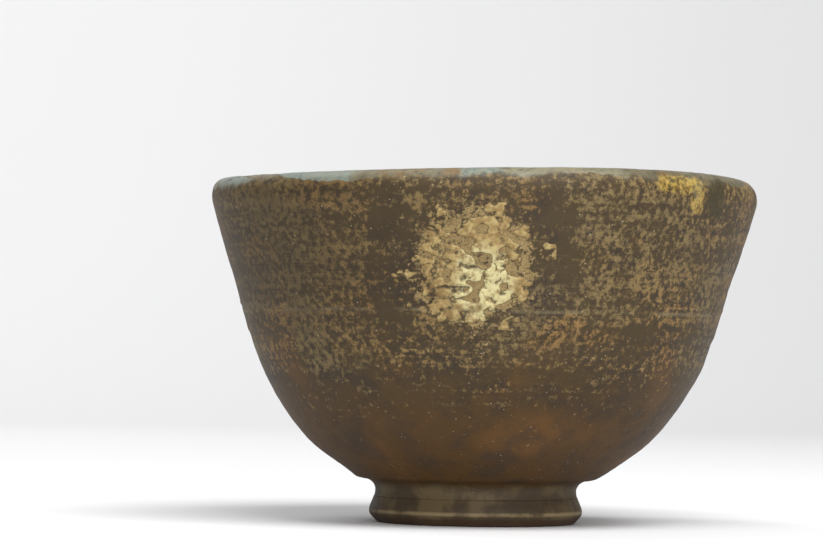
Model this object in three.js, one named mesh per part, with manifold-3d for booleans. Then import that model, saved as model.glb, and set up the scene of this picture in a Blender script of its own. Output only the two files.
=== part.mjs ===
// Wheel-thrown, wood-fired stoneware tea bowl on a turned foot ring.
// Millimetres, +Z up. The foot stands on z = 0 and the lip's outline is centred on x = y = 0.
// The potter's pieces: the thrown body, the foot ring luted under it, the clay fillet worked
// into that joint, and the three places where melted fly ash lies on the clay as glass:
// over the lip, as a crust on the side that faced the fire, and as a pool in the well.
import * as THREE from "three";
import { mergeVertices } from "three/addons/utils/BufferGeometryUtils.js";
import Module from "manifold-3d";

// ---- driving dimensions ----
const SEGMENTS = 72; // facets round the bowl
const FOOT_HEIGHT = 6.0; // foot ring, from its standing face to the joint
const FOOT_BORE_R = 17.4; // inside of the foot ring, at the joint
const NECK_R = 22.5; // stub under the body that the fillet is worked round
const LEDGE_Z = 9.9; // underside of the cut ledge above the neck
const LIP_GLASS = 0.35; // thickness of the ash glass over the lip
const CRUST = 0.32; // thickness of the ash crust on the wall
const CRUST_GAP = 0.05; // the crust sits this far off the facets below it
const LIP_GAP = 0.05; // and the lip glass this far off the clay
const LIP_WAVE = 0.7; // the lip rises and falls by this much, twice round
const LIP_WAVE_MEAN = 0.0;

// Outside of the body as [radius, height], from the cut ledge to just under the lip glass.
const OUTSIDE = [
  [25.4, 9.9], [27.6, 10.35], [30.9, 12.6], [34.9, 15.4], [38.3, 18.1],
  [41.0, 20.9], [43.2, 23.6], [45.75, 27.3], [48.05, 31.0], [50.35, 35.5],
  [52.1, 40.1], [53.75, 44.7], [55.4, 50.2], [56.95, 55.65], [58.8, 61.1],
  [60.5, 66.6], [61.85, 71.2],
];
// The finished lip outline, from outside over the top to inside: what the ash glass shows.
const LIP = [
  [61.85, 71.2], [62.2, 72.5], [62.4, 73.9], [62.3, 75.3], [61.8, 76.5],
  [60.8, 77.5], [59.4, 77.95], [58.0, 77.75], [57.05, 76.9], [56.6, 75.4],
  [56.35, 73.4], [55.95, 71.2],
];
// Inside of the body, from under the lip glass down to the edge of the tea pool.
const INSIDE = [
  [55.95, 71.2], [54.7, 66.6], [53.1, 61.1], [51.5, 55.65], [49.9, 50.2],
  [48.1, 44.7], [46.2, 40.1], [44.1, 35.5], [41.5, 31.0], [38.8, 27.3],
  [35.4, 23.6], [31.6, 20.7], [27.5, 18.0], [23.0, 15.8], [18.4, 14.6],
  [17.1, 14.25], [16.2, 13.6],
];
// Floor of the tea pool, under its glass, from the pool's edge to the axis.
const POOL_FLOOR = [[16.2, 13.6], [12.0, 13.1], [6.0, 12.95], [0, 12.9]];
const POOL_TOP = [[0, 13.36], [6.0, 13.38], [12.0, 13.44]];
// Underside inside the foot, with the small nub the turning tool leaves at the centre.
const UNDERSIDE = [[0, 5.2], [2.4, 5.45], [4.6, FOOT_HEIGHT], [NECK_R, FOOT_HEIGHT]];
// Sideways drift of the thrown body over its foot, as [height, x].
const DRIFT = [[0, -1.05], [9.9, -1.05], [11.7, -0.62], [20, -0.62], [28, -0.5], [36, -0.22], [60, -0.2], [78, 0]];

// ---- hand-made distortion, the same for every piece so that their faces still meet ----
function drift(z) {
  let i = 1;
  while (i < DRIFT.length - 1 && z > DRIFT[i][0]) i++;
  const [z0, x0] = DRIFT[i - 1], [z1, x1] = DRIFT[i];
  return x0 + (x1 - x0) * Math.min(1, Math.max(0, (z - z0) / (z1 - z0)));
}
function handMade(geometry) {
  const p = geometry.getAttribute("position");
  for (let i = 0; i < p.count; i++) {
    const x = p.getX(i), y = p.getY(i), z = p.getZ(i);
    const t = Math.min(1, Math.max(0, (z - 34) / 44));
    const r = Math.hypot(x, y) || 1;
    // sin of twice the angle measured from the front (-Y) towards +X
    const wave = (LIP_WAVE * (-2 * x * y)) / (r * r) + LIP_WAVE_MEAN;
    p.setXYZ(i, x + drift(z), y, z + wave * t * t * (3 - 2 * t) * Math.min(1, r / 30));
  }
  return geometry;
}

// ---- helpers ----
// A closed profile of [radius, height], turned about Z.
function turned(profile) {
  const points = profile.map(([r, z]) => new THREE.Vector2(r, z));
  const onAxis = profile[0][0] === 0 && profile[profile.length - 1][0] === 0;
  if (!onAxis) points.push(points[0].clone());
  const g = new THREE.LatheGeometry(points, SEGMENTS);
  g.deleteAttribute("normal");
  g.deleteAttribute("uv");
  g.rotateX(Math.PI / 2);
  return mergeVertices(g, 1e-4);
}
// The path moved towards the clay by up to `depth`, less at its two ends.
function inset(path, depth, endDepth) {
  return path.map(([r, z], i) => {
    const a = path[Math.max(0, i - 1)], b = path[Math.min(path.length - 1, i + 1)];
    const tr = b[0] - a[0], tz = b[1] - a[1], l = Math.hypot(tr, tz);
    const d = i === 0 || i === path.length - 1 ? endDepth : depth;
    return [r - (tz / l) * d, z + (tr / l) * d];
  });
}
const wasm = await Module();
wasm.setup();
function solid(geometry) {
  const g = geometry.clone();
  g.deleteAttribute("normal");
  g.deleteAttribute("uv");
  const m = mergeVertices(g, 1e-4);
  return new wasm.Manifold(
    new wasm.Mesh({
      numProp: 3,
      vertProperties: new Float32Array(m.attributes.position.array),
      triVerts: new Uint32Array(m.index.array),
    }),
  );
}
function geometryOf(manifold) {
  const m = manifold.getMesh();
  const g = new THREE.BufferGeometry();
  g.setAttribute("position", new THREE.BufferAttribute(new Float32Array(m.vertProperties), 3));
  g.setIndex(new THREE.BufferAttribute(new Uint32Array(m.triVerts), 1));
  return g;
}
function piece(name, geometry, material) {
  const mesh = new THREE.Mesh(handMade(geometry), material);
  mesh.geometry.computeVertexNormals();
  mesh.name = name;
  return mesh;
}

// ---- materials ----
const clay = new THREE.MeshStandardMaterial({ color: 0x5a452f, roughness: 0.62, metalness: 0 });
const footClay = new THREE.MeshStandardMaterial({ color: 0x54422e, roughness: 0.66, metalness: 0 });
const lipGlass = new THREE.MeshStandardMaterial({ color: 0x8f9684, roughness: 0.35, metalness: 0 });
const crustGlass = new THREE.MeshStandardMaterial({ color: 0xc2ad74, roughness: 0.55, metalness: 0 });
const poolGlass = new THREE.MeshStandardMaterial({ color: 0x6f7a5c, roughness: 0.2, metalness: 0 });

// ---- pieces ----
const bowl = new THREE.Group();

// Thrown body: wall, waist, floor and the stub under the floor.
const lipClay = inset(LIP, LIP_GLASS + LIP_GAP, LIP_GAP);
const lipUnder = inset(LIP, LIP_GLASS, 0);
bowl.add(
  piece(
    "bowl_body",
    turned([
      ...UNDERSIDE,
      [NECK_R, LEDGE_Z],
      ...OUTSIDE.slice(0, -1),
      ...lipClay,
      ...INSIDE.slice(1),
      ...POOL_FLOOR.slice(1),
    ]),
    clay,
  ),
);

// Foot ring, flared to a bead above a bevelled standing edge.
bowl.add(
  piece(
    "foot_ring",
    turned([
      [18.8, 0], [22.4, 0], [23.4, 0.9], [24.2, 1.8], [24.45, 2.6], [24.35, 3.3],
      [24.0, 4.3], [23.6, 5.2], [23.3, FOOT_HEIGHT], [FOOT_BORE_R, FOOT_HEIGHT],
      [17.6, 4.4], [18.1, 1.6],
    ]),
    footClay,
  ),
);

// Fillet of clay worked into the joint between foot ring and body.
bowl.add(
  piece(
    "foot_joint_fillet",
    turned([
      [NECK_R, FOOT_HEIGHT], [23.25, FOOT_HEIGHT], [23.05, 7.0], [23.1, 8.0],
      [23.7, 9.0], [24.5, 9.55], [25.35, LEDGE_Z], [NECK_R, LEDGE_Z],
    ]),
    footClay,
  ),
);

// Ash glass over the lip.
bowl.add(
  piece(
    "lip_ash_glaze",
    turned([...LIP, ...lipUnder.slice(1, -1).reverse()]),
    lipGlass,
  ),
);

// Ash crust on the side that faced the fire: a shell that follows the wall, cut to the
// crust's outline as seen from the front.
{
  const low = 36, high = 71.0;
  const path = OUTSIDE.filter(([, z]) => z > 35 && z < 71.1);
  path.push([61.75, 70.9]);
  const off = (d) => inset(path, -d, -d);
  const inner = off(CRUST_GAP), outer = off(CRUST_GAP + CRUST);
  const shell = solid(turned([...outer, ...inner.slice().reverse()]));
  const outline = new THREE.Shape(
    new THREE.SplineCurve(
      [
        [-14.5, 68.0], [-8.0, 69.2], [-2.0, 67.6], [4.5, 68.4], [8.5, 65.0],
        [11.0, 60.5], [9.8, 56.0], [11.6, 51.5], [9.0, 47.6], [4.0, 45.4],
        [-1.5, 43.0], [-6.0, 44.8], [-10.5, 43.6], [-14.2, 47.0], [-13.0, 51.5],
        [-16.8, 55.5], [-15.6, 60.5], [-17.4, 64.5], [-14.5, 68.0],
      ].map(([x, z]) => new THREE.Vector2(x, z)),
    ).getPoints(72).slice(0, -1),
  );
  const prism = new THREE.ExtrudeGeometry(outline, { depth: 60, bevelEnabled: false });
  prism.rotateX(Math.PI / 2); // drawn in X-Z, running towards -Y
  prism.translate(0, -20, 0);
  const crust = shell.intersect(solid(prism));
  bowl.add(piece("front_ash_crust", geometryOf(crust), crustGlass));
}

// Pool of ash glass in the well, level on top.
bowl.add(
  piece("well_ash_pool", turned([...POOL_FLOOR.slice().reverse(), ...POOL_TOP.slice().reverse()]), poolGlass),
);

export default bowl;
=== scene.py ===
import math

import bpy
import numpy as np
from mathutils import Matrix, Vector


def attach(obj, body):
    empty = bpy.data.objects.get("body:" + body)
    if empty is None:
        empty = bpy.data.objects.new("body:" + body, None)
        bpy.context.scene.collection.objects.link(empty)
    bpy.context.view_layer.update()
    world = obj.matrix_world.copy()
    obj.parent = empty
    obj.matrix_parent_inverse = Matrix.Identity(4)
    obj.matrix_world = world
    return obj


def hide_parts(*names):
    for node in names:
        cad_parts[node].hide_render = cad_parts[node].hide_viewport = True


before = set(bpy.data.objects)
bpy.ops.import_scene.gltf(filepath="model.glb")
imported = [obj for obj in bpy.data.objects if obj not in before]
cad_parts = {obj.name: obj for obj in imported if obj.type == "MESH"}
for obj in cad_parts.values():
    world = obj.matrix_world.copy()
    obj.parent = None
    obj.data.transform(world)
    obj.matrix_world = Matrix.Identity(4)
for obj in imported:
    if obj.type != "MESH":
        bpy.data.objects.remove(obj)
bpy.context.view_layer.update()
scene = bpy.context.scene
MM = 0.001

# ------------------------------------------------------------------ form, as in the CAD
OUTSIDE = np.array([
    (25.4, 9.9), (26.6, 10.05), (27.6, 10.35), (28.6, 11.0), (30.9, 12.6), (33.6, 14.45), (34.9, 15.4), (36.6, 16.7), (38.3, 18.1),
    (41.0, 20.9), (43.2, 23.6), (45.75, 27.3), (48.05, 31.0), (50.35, 35.5),
    (52.1, 40.1), (53.75, 44.7), (55.4, 50.2), (56.95, 55.65), (58.8, 61.1),
    (60.5, 66.6), (61.85, 71.2)])
LIP = np.array([
    (61.85, 71.2), (62.2, 72.5), (62.4, 73.9), (62.3, 75.3), (61.8, 76.5),
    (60.8, 77.5), (59.4, 77.95), (58.0, 77.75), (57.05, 76.9), (56.6, 75.4),
    (56.35, 73.4), (55.95, 71.2)])
INSIDE = np.array([
    (55.95, 71.2), (54.7, 66.6), (53.1, 61.1), (51.5, 55.65), (49.9, 50.2),
    (48.1, 44.7), (46.2, 40.1), (44.1, 35.5), (41.5, 31.0), (38.8, 27.3),
    (35.4, 23.6), (31.6, 20.7), (27.5, 18.0), (23.0, 15.8), (18.4, 14.6),
    (17.1, 14.2), (16.2, 13.55), (14.4, 13.2), (12.0, 13.1), (6.0, 12.95), (0.0, 12.9)])
UNDER = np.array([(0.0, 5.2), (1.2, 5.25), (2.4, 5.5), (3.6, 5.85), (4.8, 6.0), (12.0, 6.0), (22.5, 6.0)])
DRIFT = np.array([(0, -1.05), (9.9, -1.05), (11.7, -0.62), (20, -0.62), (28, -0.5), (36, -0.22), (60, -0.2), (78, 0)])
LIP_WAVE = 0.7


def hand_made(p):
    x, y, z = p[:, 0].copy(), p[:, 1].copy(), p[:, 2].copy()
    t = np.clip((z - 34) / 44, 0, 1)
    r = np.maximum(np.hypot(x, y), 1e-6)
    wave = LIP_WAVE * (-2 * x * y) / (r * r)
    return np.stack([x + np.interp(z, DRIFT[:, 0], DRIFT[:, 1]), y,
                     z + wave * t * t * (3 - 2 * t) * np.minimum(1, r / 30)], 1)


# ------------------------------------------------------------------ seeded gradient noise
rng = np.random.RandomState(20417)
PERM = np.tile(rng.permutation(256), 3)
GRAD = rng.normal(size=(256, 3))
GRAD /= np.linalg.norm(GRAD, axis=1)[:, None]


def noise(p):
    i = np.floor(p).astype(int)
    f = p - i
    u = f * f * f * (f * (f * 6 - 15) + 10)
    i &= 255
    total = np.zeros(len(p))
    for dx in (0, 1):
        for dy in (0, 1):
            for dz in (0, 1):
                h = PERM[PERM[PERM[(i[:, 0] + dx) & 255] + ((i[:, 1] + dy) & 255)] + ((i[:, 2] + dz) & 255)]
                g = GRAD[h & 255]
                d = f - np.array([dx, dy, dz])
                w = np.abs((1 - dx) - u[:, 0]) * np.abs((1 - dy) - u[:, 1]) * np.abs((1 - dz) - u[:, 2])
                total += w * (g * d).sum(1)
    return total * 1.6


def fbm(p, octaves=4, gain=0.5):
    a, s, out = 1.0, 1.0, np.zeros(len(p))
    for k in range(octaves):
        out += a * noise(p * s + 17.3 * k)
        a *= gain
        s *= 2.03
    return out


def smooth(a, b, x):
    t = np.clip((x - a) / (b - a), 0, 1)
    return t * t * (3 - 2 * t)


# ------------------------------------------------------------------ mesh helpers
def resample(path, step, sharp=()):
    """Points every `step` mm along a Catmull-Rom curve through path."""
    p = np.asarray(path, float)
    q = np.vstack([2 * p[0] - p[1], p, 2 * p[-1] - p[-2]])
    out = []
    for k in range(1, len(q) - 2):
        n = 24
        t = np.linspace(0, 1, n, endpoint=False)[:, None]
        a, b, c, d = q[k - 1], q[k], q[k + 1], q[k + 2]
        la, lb, lc = (np.linalg.norm(v) ** 0.5 for v in (b - a, c - b, d - c))
        m1 = (b - a) / la / la * 1.0 * lb * lb * 0.5 + (c - b) * 0.5
        m2 = (c - b) * 0.5 + (d - c) / lc / lc * lb * lb * 0.5
        out.append((2 * t**3 - 3 * t**2 + 1) * b + (t**3 - 2 * t**2 + t) * m1 + (-2 * t**3 + 3 * t**2) * c + (t**3 - t**2) * m2)
    out = np.vstack(out + [p[-1:]])
    s = np.concatenate([[0], np.cumsum(np.linalg.norm(np.diff(out, axis=0), axis=1))])
    n = max(2, int(round(s[-1] / step)) + 1)
    u = np.linspace(0, s[-1], n)
    return np.stack([np.interp(u, s, out[:, 0]), np.interp(u, s, out[:, 1])], 1)


def revolve(profile, seg, closed):
    """Vertices and faces of a profile of (r, z) turned about Z. closed joins the last row to the first."""
    prof = np.asarray(profile, float)
    axis_rows = [i for i in (0, len(prof) - 1) if prof[i, 0] < 1e-9]
    ang = np.linspace(0, 2 * math.pi, seg, endpoint=False)
    verts, rows = [], []
    for i, (r, z) in enumerate(prof):
        if i in axis_rows:
            rows.append([len(verts)])
            verts.append((0.0, 0.0, z))
        else:
            rows.append(list(range(len(verts), len(verts) + seg)))
            verts.extend(zip(r * np.sin(ang), -r * np.cos(ang), np.full(seg, z)))
    faces = []
    pairs = list(zip(rows[:-1], rows[1:])) + ([(rows[-1], rows[0])] if closed else [])
    for a, b in pairs:
        if len(a) == 1 and len(b) == 1:
            continue
        if len(a) == 1:
            faces += [(a[0], b[(j + 1) % seg], b[j]) for j in range(seg)]
        elif len(b) == 1:
            faces += [(a[j], a[(j + 1) % seg], b[0]) for j in range(seg)]
        else:
            faces += [(a[j], a[(j + 1) % seg], b[(j + 1) % seg], b[j]) for j in range(seg)]
    return np.array(verts), faces


def make(name, verts, faces, body="root", attributes=None):
    me = bpy.data.meshes.new(name)
    me.from_pydata((verts * MM).tolist(), [], faces)
    me.validate()
    for key, values in (attributes or {}).items():
        a = me.attributes.new(key, "FLOAT", "POINT")
        a.data.foreach_set("value", np.asarray(values, np.float32))
    ob = bpy.data.objects.new(name, me)
    scene.collection.objects.link(ob)
    import bmesh
    bm = bmesh.new()
    bm.from_mesh(me)
    bmesh.ops.recalc_face_normals(bm, faces=bm.faces)
    bm.to_mesh(me)
    bm.free()
    me.polygons.foreach_set("use_smooth", [True] * len(me.polygons))
    return ob


def vertex_normals(verts, faces):
    me = bpy.data.meshes.new("tmp")
    me.from_pydata(verts.tolist(), [], faces)
    import bmesh
    bm = bmesh.new()
    bm.from_mesh(me)
    bmesh.ops.recalc_face_normals(bm, faces=bm.faces)
    bm.normal_update()
    n = np.array([v.normal[:] for v in bm.verts])
    bm.free()
    bpy.data.meshes.remove(me)
    return n


# ------------------------------------------------------------------ surface relief in mm
def outer_relief(p):
    """Throwing rings, drag lines and the unevenness of the wall outside."""
    x, y, z = p.T
    th = np.arctan2(x, -y)
    zz = z + 0.55 * np.sin(th + 0.6) + 0.35 * np.sin(2 * th + 2.1)
    ring = 0.055 * noise(np.stack([np.sin(th) * 0.9, np.cos(th) * 0.9, zz * 0.42], 1))
    ring += 0.10 * noise(np.stack([np.sin(th) * 0.5, np.cos(th) * 0.5 + 9, zz * 0.17], 1))
    fine = 0.022 * noise(np.stack([np.sin(th) * 3.0, np.cos(th) * 3.0, zz * 1.5], 1))
    lump = 0.16 * noise(p * 0.035 + 4.0)
    drag = -0.10 * np.exp(-((zz - 48.1) / 0.45) ** 2) + 0.10 * np.exp(-((zz - 49.0) / 0.6) ** 2)
    kink = -0.13 * np.exp(-((zz - 41.6) / 0.8) ** 2) + 0.08 * np.exp(-((zz - 43.0) / 1.2) ** 2)
    pit = -0.10 * smooth(0.52, 0.78, fbm(p * 0.42 + 31, 3))
    grain = 0.028 * fbm(p * 0.95 + 7, 3)
    top = smooth(8.0, 14.0, z)
    return (ring + fine + lump + drag + kink) * top + pit * smooth(10, 20, z) + grain


def inner_relief(p):
    x, y, z = p.T
    th = np.arctan2(x, -y)
    r = np.hypot(x, y)
    s = z * 1.0 + r * 0.55 - th / (2 * math.pi) * 4.2
    groove = 0.13 * np.sin(s * 2 * math.pi / 4.2) * (0.6 + 0.4 * noise(p * 0.06 + 2))
    return groove + 0.14 * noise(p * 0.05 + 11) + 0.025 * fbm(p * 0.8 + 3, 3)


# ------------------------------------------------------------------ nodes
class F:
    """A float or colour socket with arithmetic."""

    def __init__(self, tree, sock):
        self.t, self.s = tree, sock

    def _m(self, op, *others, clamp=False):
        n = self.t.nodes.new("ShaderNodeMath")
        n.operation = op
        n.use_clamp = clamp
        for k, v in enumerate((self, *others)):
            if isinstance(v, F):
                self.t.links.new(v.s, n.inputs[k])
            else:
                n.inputs[k].default_value = float(v)
        return F(self.t, n.outputs[0])

    def __add__(self, o): return self._m("ADD", o)
    __radd__ = __add__
    def __mul__(self, o): return self._m("MULTIPLY", o)
    __rmul__ = __mul__
    def __sub__(self, o): return self._m("SUBTRACT", o)
    def __rsub__(self, o): return (self * -1.0) + o
    def __truediv__(self, o): return self._m("DIVIDE", o)
    def clamp(self): return self._m("ADD", 0.0, clamp=True)
    def max(self, o): return self._m("MAXIMUM", o)
    def min(self, o): return self._m("MINIMUM", o)
    def abs(self): return self._m("ABSOLUTE")
    def pow(self, o): return self._m("POWER", o)

    def step(self, a, b, lo=0.0, hi=1.0):
        n = self.t.nodes.new("ShaderNodeMapRange")
        n.interpolation_type = "SMOOTHSTEP"
        self.t.links.new(self.s, n.inputs[0])
        for k, v in zip((1, 2, 3, 4), (a, b, lo, hi)):
            n.inputs[k].default_value = v
        return F(self.t, n.outputs[0])


class Mat:
    def __init__(self, name):
        self.m = bpy.data.materials.new(name)
        self.m.use_nodes = True
        self.t = self.m.node_tree
        self.t.nodes.clear()
        self.out = self.t.nodes.new("ShaderNodeOutputMaterial")
        self.b = self.t.nodes.new("ShaderNodeBsdfPrincipled")
        self.t.links.new(self.b.outputs[0], self.out.inputs[0])
        tc = self.t.nodes.new("ShaderNodeTexCoord")
        sc = self.t.nodes.new("ShaderNodeVectorMath")
        sc.operation = "SCALE"
        sc.inputs[3].default_value = 1000.0
        self.t.links.new(tc.outputs["Object"], sc.inputs[0])
        self.p = sc.outputs[0]
        sep = self.t.nodes.new("ShaderNodeSeparateXYZ")
        self.t.links.new(self.p, sep.inputs[0])
        self.x, self.y, self.z = (F(self.t, o) for o in sep.outputs)

    def vec(self, scale, offset=(0, 0, 0), src=None):
        n = self.t.nodes.new("ShaderNodeMapping")
        n.inputs["Scale"].default_value = scale if hasattr(scale, "__len__") else (scale,) * 3
        n.inputs["Location"].default_value = offset
        self.t.links.new(src or self.p, n.inputs["Vector"])
        return n.outputs[0]

    def noise(self, scale, offset=(0, 0, 0), detail=4.0, rough=0.55, distort=0.0, src=None):
        n = self.t.nodes.new("ShaderNodeTexNoise")
        n.inputs["Scale"].default_value = 1.0
        n.inputs["Detail"].default_value = detail
        n.inputs["Roughness"].default_value = rough
        n.inputs["Distortion"].default_value = distort
        self.t.links.new(self.vec(scale, offset, src), n.inputs["Vector"])
        return F(self.t, n.outputs[0])

    def voronoi(self, scale, feature="F1", offset=(0, 0, 0), src=None, randomness=1.0):
        n = self.t.nodes.new("ShaderNodeTexVoronoi")
        n.feature = feature
        n.inputs["Scale"].default_value = 1.0
        n.inputs["Randomness"].default_value = randomness
        self.t.links.new(self.vec(scale, offset, src), n.inputs["Vector"])
        return F(self.t, n.outputs["Distance"])

    def warp(self, amount, scale, offset=(0, 0, 0)):
        n = self.t.nodes.new("ShaderNodeTexNoise")
        n.inputs["Scale"].default_value = 1.0
        n.inputs["Detail"].default_value = 3.0
        self.t.links.new(self.vec(scale, offset), n.inputs["Vector"])
        sub = self.t.nodes.new("ShaderNodeVectorMath")
        sub.operation = "SUBTRACT"
        sub.inputs[1].default_value = (0.5, 0.5, 0.5)
        self.t.links.new(n.outputs["Color"], sub.inputs[0])
        mul = self.t.nodes.new("ShaderNodeVectorMath")
        mul.operation = "SCALE"
        mul.inputs[3].default_value = amount
        self.t.links.new(sub.outputs[0], mul.inputs[0])
        add = self.t.nodes.new("ShaderNodeVectorMath")
        add.operation = "ADD"
        self.t.links.new(self.p, add.inputs[0])
        self.t.links.new(mul.outputs[0], add.inputs[1])
        return add.outputs[0]

    def attr(self, name):
        n = self.t.nodes.new("ShaderNodeAttribute")
        n.attribute_name = name
        return F(self.t, n.outputs["Fac"])

    def mix(self, a, b, f):
        n = self.t.nodes.new("ShaderNodeMix")
        n.data_type = "RGBA"
        n.clamp_factor = True
        ia, ib = n.inputs[6], n.inputs[7]
        for sock, v in ((ia, a), (ib, b)):
            if isinstance(v, F):
                self.t.links.new(v.s, sock)
            else:
                sock.default_value = (*v, 1.0)
        self.t.links.new(f.s, n.inputs[0])
        return F(self.t, n.outputs[2])

    def blob(self, cx, cz, rx, rz, rag=0.35, front=True, nz=None):
        """1 inside an irregular spot on the front wall centred at x, z, in mm; fading past 1."""
        dx, dz = (self.x - cx) / rx, (self.z - cz) / rz
        d = (dx * dx + dz * dz).pow(0.5)
        nn = nz if nz is not None else self.noise(0.22, (cx, 3, cz), 5, 0.62)
        d = d + (nn - 0.5) * (rag * 4)
        m = d.step(1.15, 0.75)
        return m * self.y.step(4, -4) if front else m

    def finish(self, colour, rough, bump=None, strength=0.3, dist=0.0003, spec=0.5, coat=0.0, coat_rough=0.3):
        self.t.links.new(colour.s, self.b.inputs["Base Color"])
        if isinstance(rough, F):
            self.t.links.new(rough.s, self.b.inputs["Roughness"])
        else:
            self.b.inputs["Roughness"].default_value = rough
        self.b.inputs["Specular IOR Level"].default_value = spec
        self.b.inputs["Coat Weight"].default_value = coat
        self.b.inputs["Coat Roughness"].default_value = coat_rough
        if bump is not None:
            n = self.t.nodes.new("ShaderNodeBump")
            n.inputs["Strength"].default_value = strength
            n.inputs["Distance"].default_value = dist
            self.t.links.new(bump.s, n.inputs["Height"])
            self.t.links.new(n.outputs[0], self.b.inputs["Normal"])
        return self.m


def srgb(r, g, b):
    def f(v):
        v /= 255
        return v / 12.92 if v <= 0.04045 else ((v + 0.055) / 1.055) ** 2.4
    return (f(r), f(g), f(b))


def stoneware(name, part):
    """The fired clay and its fly ash. part: wall, foot, lip, crust, inside parts share one pattern in space."""
    M = Mat(name)
    x, z = M.x, M.z
    big = M.noise(0.035, (3, 8, 1), 3)
    mid = M.noise(0.13, (5, 1, 9), 4, 0.6)
    fine = M.noise(0.75, (2, 2, 2), 5, 0.68)
    grain = M.noise(2.6, (9, 4, 3), 3, 0.7)
    streak = M.noise((0.035, 0.035, 1.1), (1, 2, 3), 4, 0.6)
    band = M.noise((0.012, 0.012, 0.23), (7, 0, 2), 3, 0.55)
    warm = M.noise(0.06, (21, 3, 14), 3)
    # clay: dark above, tobacco brown towards the foot
    clay = M.mix(srgb(72, 48, 14), srgb(62, 49, 28), z.step(14, 42))
    clay = M.mix(clay, srgb(96, 64, 26), (warm.step(0.5, 0.72) * z.step(48, 22)).clamp() * 0.6)
    clay = M.mix(clay, srgb(44, 36, 28), (mid.step(0.42, 0.66)) * 0.6)
    # light ash grains lying on it, denser above, drawn out along the wheel marks
    zone = z.step(18, 44, -0.20, 0.05) + (band - 0.5) * 0.35 + (big - 0.5) * 0.25
    dark1 = M.blob(-20.5, 58, 5.5, 17, 0.3)
    dark2 = M.blob(13.5, 60, 5.5, 16, 0.3)
    zone = zone - dark1 * 0.10 - dark2 * 0.12
    g1 = (fine - 0.5) * 1.15 + (mid - 0.5) * 0.35 + (grain - 0.5) * 0.30 + (streak - 0.5) * 0.30 + zone
    light = M.mix(srgb(132, 108, 66), srgb(116, 99, 64), big.step(0.4, 0.6))
    light = M.mix(light, srgb(136, 104, 60), warm.step(0.48, 0.7))
    col = M.mix(clay, light, g1.step(-0.02, 0.20) * 0.85)
    col = M.mix(col, srgb(38, 32, 27), ((fine * -1.0 + 1.0) + (grain - 0.5) * 0.4).step(0.58, 0.72) * z.step(14, 34) * 0.65)
    col = M.mix(col, srgb(48, 37, 20), x.step(0, -42) * z.step(30, 55) * mid.step(0.25, 0.6) * 0.55)
    # horizontal pale drag lines
    line = ((z + M.noise(0.03, (4, 4, 4), 2) * 1.2 - 48.3) / 0.5)
    line = (line * line * -1.0 + 1.0).clamp() * mid.step(0.40, 0.55)
    col = M.mix(col, srgb(132, 122, 94), line * 0.30)
    col = M.mix(col, srgb(56, 46, 34), streak.step(0.54, 0.68) * z.step(20, 40) * 0.35)
    # pale gold ash on the side that faced the fire
    edge = M.noise(0.30, (11, 5, 6), 6, 0.66)
    ash = M.blob(-3.0, 57.0, 13.5, 13.5, 0.30, nz=edge)
    veil = (ash * 0.9 + (fine - 0.5) * 2.6 + (grain - 0.5) * 1.0 - 0.45).step(0.0, 0.30)
    col = M.mix(col, M.mix(srgb(124, 102, 64), srgb(146, 126, 84), grain.step(0.4, 0.6)), veil * ash.step(0.0, 0.5) * 0.75)
    if part == "crust":
        rise = M.attr("rise")
        body_col = M.mix(srgb(132, 108, 66), srgb(160, 140, 92), fine.step(0.42, 0.62))
        heart = M.blob(-1.5, 53.5, 6.5, 8.5, 0.25)
        body_col = M.mix(body_col, srgb(184, 174, 128), heart * fine.step(0.32, 0.55))
        body_col = M.mix(body_col, srgb(104, 80, 46), M.noise(0.2, (6, 7, 8), 4).step(0.5, 0.68) * 0.7)
        body_col = M.mix(srgb(54, 44, 30), body_col, rise.step(-0.01, 0.16))
        col = M.mix(col, body_col, rise.step(-0.05, 0.0))
    if part == "lip":
        rise = M.attr("rise")
    # grey-green glass of the lip, ragged below, with a painted highlight along the front of the lip top
    rag = M.noise(0.11, (13, 2, 5), 5, 0.6)
    r2 = M.noise((0.05, 0.05, 0.02), (3, 6, 5), 3, 0.55)
    lipz = z + (rag - 0.5) * 4.0 + (r2 - 0.5) * 7.0
    lipm = rise.step(0.0, 0.05) if part == "lip" else lipz.step(75.4, 77.4)
    glass = M.mix(srgb(82, 78, 60), srgb(106, 102, 84), rag.step(0.4, 0.65))
    glass = M.mix(glass, srgb(108, 86, 54), M.noise(0.07, (17, 1, 1), 4).step(0.5, 0.62))
    glass = M.mix(glass, srgb(112, 128, 122), M.blob(-38, 77, 9, 3, 0.4).max(M.blob(-2.5, 76.5, 5, 3.5, 0.4)).max(M.blob(-56, 76, 4, 4, 0.4)) * 0.75)
    # painted highlight: a pale silvery band along the front of the lip top, where the overhead lamp shines
    glass = M.mix(glass, srgb(128, 126, 104), M.blob(16, 77.5, 14, 2.2, 0.4) * 0.6)
    glass = M.mix(glass, srgb(58, 50, 36), (fine * -1.0 + 1.0).step(0.5, 0.7) * 0.5)
    col = M.mix(col, glass, lipm * 0.8)
    # amber run at the right of the lip, with the dark halo beside it
    amber = M.blob(41.0, 75.6, 5.6, 2.2, 0.34).max(M.blob(45.6, 72.2, 1.7, 3.0, 0.36))
    halo = M.blob(50.0, 73.0, 2.4, 4.6, 0.3)
    col = M.mix(col, srgb(52, 46, 26), halo * 0.8)
    col = M.mix(col, M.mix(srgb(140, 110, 34), srgb(160, 136, 70), fine.step(0.4, 0.6)), (amber * (fine - 0.5 + (grain - 0.5) * 0.5).step(-0.16, 0.10)) * 0.85)
    # white and iron specks
    spk = M.voronoi(0.75, "F1", (1, 5, 2)).step(0.13, 0.07) * M.noise(0.4, (2, 2, 7), 2).step(0.5, 0.6)
    col = M.mix(col, srgb(196, 184, 150), spk * 0.55)
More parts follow.
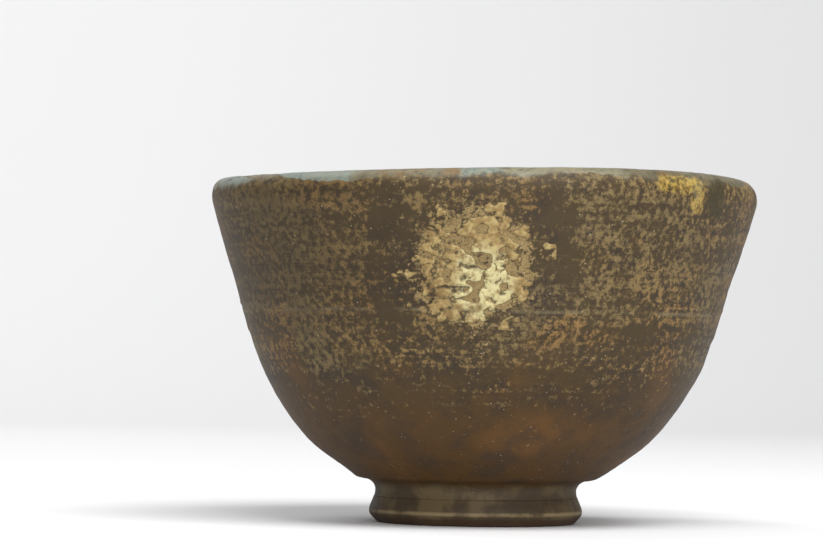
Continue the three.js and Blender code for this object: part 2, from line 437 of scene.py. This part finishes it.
    # foot: darker, greyer neck, and a painted highlight along the ridge of the foot ring
    neck = z.step(10.2, 8.2)
    col = M.mix(col, M.mix(srgb(60, 52, 40), srgb(98, 84, 58), mid.step(0.40, 0.62)), neck * 0.75)
    # painted highlight: a pale line along the outermost ridge of the foot ring
    foot_ridge_highlight = ((z - 2.7) / 0.55)
    foot_ridge_highlight = (foot_ridge_highlight * foot_ridge_highlight * -1.0 + 1.0).clamp() * mid.step(0.3, 0.5)
    col = M.mix(col, srgb(140, 122, 88), foot_ridge_highlight * 0.7)
    col = M.mix(col, srgb(66, 44, 26), z.step(1.9, 1.2) * 0.7)
    rough = (0.60 + (fine - 0.5) * 0.25) - lipm * 0.18 - amber * 0.15
    bump = fine * 0.6 + grain * 0.35 + M.noise(6.0, (1, 1, 1), 2) * 0.12 + veil * 0.3
    return M.finish(col, rough, bump, 0.6, 0.00024, 0.26)


# ------------------------------------------------------------------ pieces
SEG = 430
mat_clay = stoneware("fired_stoneware", "wall")

outer = resample(np.vstack([OUTSIDE, LIP[1:]]), 0.72)
cut = int(np.argmax(outer[:, 1]))  # the lip's top
inner = resample(INSIDE, 1.3)
neck_path = np.array([(22.5, 6.0), (22.5, 7.5), (22.5, 9.9)])
profile = np.vstack([resample(UNDER, 1.4)[:-1], neck_path, outer[1:], inner[1:]])
verts, faces = revolve(profile, SEG, False)
nrm = vertex_normals(verts, faces)
r = np.hypot(verts[:, 0], verts[:, 1])
inside = np.zeros(len(verts), bool)
row_of = np.concatenate([[0], 1 + np.repeat(np.arange(len(profile) - 2), SEG), [len(profile) - 1]])
n_out = len(resample(UNDER, 1.4)) - 1 + len(neck_path) + len(outer) - 1
is_inner = row_of >= n_out
lipw = smooth(73.0, 77.0, verts[:, 2])
d = np.where(is_inner, inner_relief(verts), outer_relief(verts))
blend = 0.5 * inner_relief(verts) * 0.3 + 0.5 * outer_relief(verts) * 0.3
d = d * (1 - lipw) + blend * lipw
d *= np.where((verts[:, 2] < 10.0) & ~is_inner, 0.15, 1.0)
d *= np.where(is_inner & (r < 16.5), 0.3, 1.0)
body = make("bowl_body_fired", hand_made(verts + nrm * d[:, None]), faces)
body.data.materials.append(mat_clay)
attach(body, "root")
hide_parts("bowl_body")

# lip glass: a shell over the rim whose ragged lower edge dives into the clay
band = outer[outer[:, 1] > 68.5]
nb = len(band)
turn = np.gradient(band, axis=0)
out_n = np.stack([turn[:, 1], -turn[:, 0]], 1) / np.linalg.norm(turn, axis=1)[:, None]
verts, faces = revolve(np.vstack([band, (band - 0.75 * out_n)[::-1]]), 720, True)
top = verts[:nb * 720]
th = np.arctan2(top[:, 0], -top[:, 1])
edge_z = 76.3 + 1.7 * fbm(np.stack([np.sin(th) * 3.2, np.cos(th) * 3.2, 0 * th], 1), 4) + 0.4 * noise(top * 0.6)
drip = np.exp(-((top[:, 0] - 45.4) / 1.5) ** 2) * (top[:, 1] < 0) * 4.2
drip += np.exp(-((top[:, 0] - 40.0) / 3.4) ** 2) * (top[:, 1] < 0) * 1.0
rise = np.clip((top[:, 2] - edge_z + drip) * 0.16, -0.45, 0.16) + 0.03 * fbm(top * 0.5, 3)
nrm = np.repeat(out_n, 720, axis=0)
nrm3 = np.stack([nrm[:, 0] * np.sin(th), -nrm[:, 0] * np.cos(th), nrm[:, 1]], 1)
k = np.arange(len(top)) // 720
rise = np.where((k < 2) | (k > nb - 3), -0.45, rise)
lay = verts.copy()
lay[:nb * 720] = top + nrm3 * (rise * 0.9)[:, None]
every = np.concatenate([rise, np.full(len(verts) - len(top), -0.5)])
lip = make("lip_ash_glass", hand_made(lay), faces, attributes={"rise": every})
lip.data.materials.append(stoneware("lip_glass_over_clay", "lip"))
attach(lip, "root")
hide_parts("lip_ash_glaze")

# ash crust: islands standing proud, with pits and cracks that drop below the clay
gx, gz = np.arange(-21.0, 15.01, 0.25), np.arange(38.0, 71.01, 0.25)
X, Z = np.meshgrid(gx, gz)
x, z = X.ravel(), Z.ravel()
wall = outer[:cut]
rr = np.interp(z, wall[:, 1], wall[:, 0])
slope = np.interp(z, wall[:, 1], np.gradient(wall[:, 0]) / np.maximum(np.gradient(wall[:, 1]), 1e-3))
pts = np.stack([x, -np.sqrt(rr * rr - x * x), z], 1)
c = 1 / np.sqrt(1 + slope ** 2)
nn = np.stack([x / rr * c, pts[:, 1] / rr * c, -slope * c], 1)
far = np.hypot((x + 3.0) / 16.5, (z - 57.0) / 15.5) + 0.42 * fbm(pts * 0.17 + 5, 4)
lace = 0.26 * fbm(pts * np.array([0.50, 0.5, 0.62]) + 40, 4)
pitted = smooth(0.20, 0.42, noise(pts * np.array([0.30, 0.3, 0.46]) + 71)) * 0.5
ridge = np.abs(noise(pts * 0.42 + 90))
cracked = smooth(0.10, 0.02, ridge) * smooth(0.0, 0.3, noise(pts * 0.12 + 13)) * 0.35
rise = np.clip(0.75 * (0.80 - far), -0.6, 0.17) + lace - pitted - cracked
rise = np.clip(rise, -0.6, 0.26)
border = (x < gx[2]) | (x > gx[-3]) | (z < gz[2]) | (z > gz[-3])
rise[border] = -0.6
ground = outer_relief(pts)
topv = pts + nn * (ground + rise)[:, None]
lowv = pts + nn * (ground - 0.9)[:, None]
nx, nz_ = len(gx), len(gz)
quad = [(j * nx + i, j * nx + i + 1, (j + 1) * nx + i + 1, (j + 1) * nx + i) for j in range(nz_ - 1) for i in range(nx - 1)]
N = nx * nz_
rim = [i for i in range(nx)] + [j * nx + nx - 1 for j in range(1, nz_)] + [(nz_ - 1) * nx + i for i in range(nx - 2, -1, -1)] + [j * nx for j in range(nz_ - 2, 0, -1)]
faces = quad + [tuple(N + v for v in q[::-1]) for q in quad] + [(rim[i], N + rim[i], N + rim[(i + 1) % len(rim)], rim[(i + 1) % len(rim)]) for i in range(len(rim))]
crust = make("front_ash_crust_fired", hand_made(np.vstack([topv, lowv])), faces,
             attributes={"rise": np.concatenate([rise, np.full(N, -0.6)])})
crust.data.materials.append(stoneware("ash_crust_over_clay", "crust"))
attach(crust, "root")
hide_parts("front_ash_crust")

FOOT = [(18.8, 0.0), (22.3, 0.0), (22.75, 0.22), (23.4, 0.9), (24.2, 1.8), (24.45, 2.6), (24.35, 3.3),
        (24.0, 4.3), (23.6, 5.2), (23.3, 6.02), (17.4, 6.02), (17.6, 4.4), (18.1, 1.6), (18.4, 0.35)]
foot_profile = np.vstack([resample(FOOT[1:10], 0.35), [(20.3, 6.02)], resample(FOOT[10:], 0.6), [(18.8, 0.0), (20.5, 0.0)]])
verts, faces = revolve(foot_profile, 480, True)
nrm = vertex_normals(verts, faces)
d = 0.05 * noise(verts * 0.25 + 3) + 0.02 * fbm(verts * 0.9, 3)
d *= smooth(0.0, 0.9, verts[:, 2])
foot = make("foot_ring_turned", hand_made(verts + nrm * d[:, None]), faces)
foot.data.materials.append(mat_clay)
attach(foot, "root")
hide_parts("foot_ring")

FIL = [(23.28, 5.9), (23.05, 7.0), (23.1, 8.0), (23.7, 9.0), (24.5, 9.6), (25.5, 9.98)]
fil_profile = np.vstack([resample(FIL, 0.3), [(24.0, 10.2), (22.3, 10.2), (22.3, 5.9)]])
verts, faces = revolve(fil_profile, 480, True)
fillet = make("foot_joint_fillet_worked", hand_made(verts), faces)
fillet.data.materials.append(mat_clay)
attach(fillet, "root")
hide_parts("foot_joint_fillet")

pool_profile = np.vstack([[(0.0, 13.40)], resample([(6.0, 13.42), (12.0, 13.46), (15.2, 13.5), (16.3, 13.62)], 0.8),
                          resample([(16.3, 13.5), (12.0, 13.0), (6.0, 12.8)], 1.5), [(0.0, 12.7)]])
verts, faces = revolve(pool_profile, 240, False)
pool = make("well_ash_pool_glass", hand_made(verts), faces)
P = Mat("pooled_ash_glass")
pf = P.noise(0.5, (4, 1, 2), 4)
pc = P.voronoi(0.35, "DISTANCE_TO_EDGE", (1, 1, 1), P.warp(1.2, 0.3)).step(0.03, 0.008)
pcol = P.mix(srgb(70, 66, 38), srgb(96, 88, 52), pf.step(0.4, 0.65))
pcol = P.mix(pcol, srgb(54, 44, 24), P.noise(0.12, (9, 2, 6), 3).step(0.45, 0.65) * 0.7)
pcol = P.mix(pcol, srgb(132, 124, 88), pc * 0.3)
pool.data.materials.append(P.finish(pcol, 0.18 + pf * 0.12, pf, 0.15, 0.0002, 0.5, 0.5, 0.08))
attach(pool, "root")
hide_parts("well_ash_pool")

# ------------------------------------------------------------------ floor, backdrop, light
me = bpy.data.meshes.new("sweep")
path = [(-1.6, 0.0), (1.2, 0.0)] + [(1.2 + 0.9 * math.sin(a), 0.9 - 0.9 * math.cos(a)) for a in np.linspace(0.1, math.pi / 2, 16)] + [(2.1, 3.6)]
vv = [(sx * 4.0, y, z - 0.00002) for (y, z) in path for sx in (-1, 1)]
ff = [(2 * i, 2 * i + 1, 2 * i + 3, 2 * i + 2) for i in range(len(path) - 1)]
me.from_pydata(vv, [], ff)
me.polygons.foreach_set("use_smooth", [True] * len(ff))
sweep = bpy.data.objects.new("sweep", me)
scene.collection.objects.link(sweep)
fm = bpy.data.materials.new("paper")
fm.use_nodes = True
b = fm.node_tree.nodes["Principled BSDF"]
b.inputs["Base Color"].default_value = (0.66, 0.66, 0.665, 1)
b.inputs["Roughness"].default_value = 0.9
me.materials.append(fm)


def area(name, loc, target, size, power, colour=(1, 1, 1)):
    l = bpy.data.lights.new(name, "AREA")
    l.shape = "RECTANGLE"
    l.size, l.size_y = size
    l.energy = power
    l.color = colour
    o = bpy.data.objects.new(name, l)
    scene.collection.objects.link(o)
    o.location = loc
    o.rotation_mode = "QUATERNION"
    o.rotation_quaternion = (Vector(target) - Vector(loc)).to_track_quat("-Z", "Y")
    return o


area("overhead", (0.2, -0.5, 0.9), (0, 0, 0.05), (0.8, 0.6), 14)
area("front_fill", (0.25, -1.3, 0.35), (0, 0, 0.04), (0.7, 0.5), 9)
area("backdrop_wash", (-0.7, 0.6, 1.5), (-0.3, 2.0, 0.4), (1.2, 1.0), 25)
w = bpy.data.worlds.new("world")
w.use_nodes = True
w.node_tree.nodes["Background"].inputs[0].default_value = (1, 1, 1, 1)
w.node_tree.nodes["Background"].inputs[1].default_value = 0.40
scene.world = w
scene.view_settings.view_transform = "Standard"

# ------------------------------------------------------------------ camera, fitted to the lip and foot curves
F_PX, DIST, EYE = 3418.0, 0.785, 0.0352
cam_data = bpy.data.cameras.new("camera")
cam_data.sensor_width = 36.0
cam_data.lens = F_PX / 823 * 36
cam = bpy.data.objects.new("camera", cam_data)
scene.collection.objects.link(cam)
cam.location = (-0.01645, -DIST, EYE)  # the bowl stands right of the middle
yaw = 0.0
pitch = math.atan(93.5 / F_PX)  # the eye line is below the middle
roll = math.radians(0.8)
look = Vector((-math.sin(yaw) * math.cos(pitch), math.cos(yaw) * math.cos(pitch), math.sin(pitch)))
q = look.to_track_quat("-Z", "Y")
cam.rotation_mode = "QUATERNION"
cam.rotation_quaternion = q @ Matrix.Rotation(roll, 3, "Z").to_quaternion()
cam_data.clip_start, cam_data.clip_end = 0.01, 50
scene.camera = cam
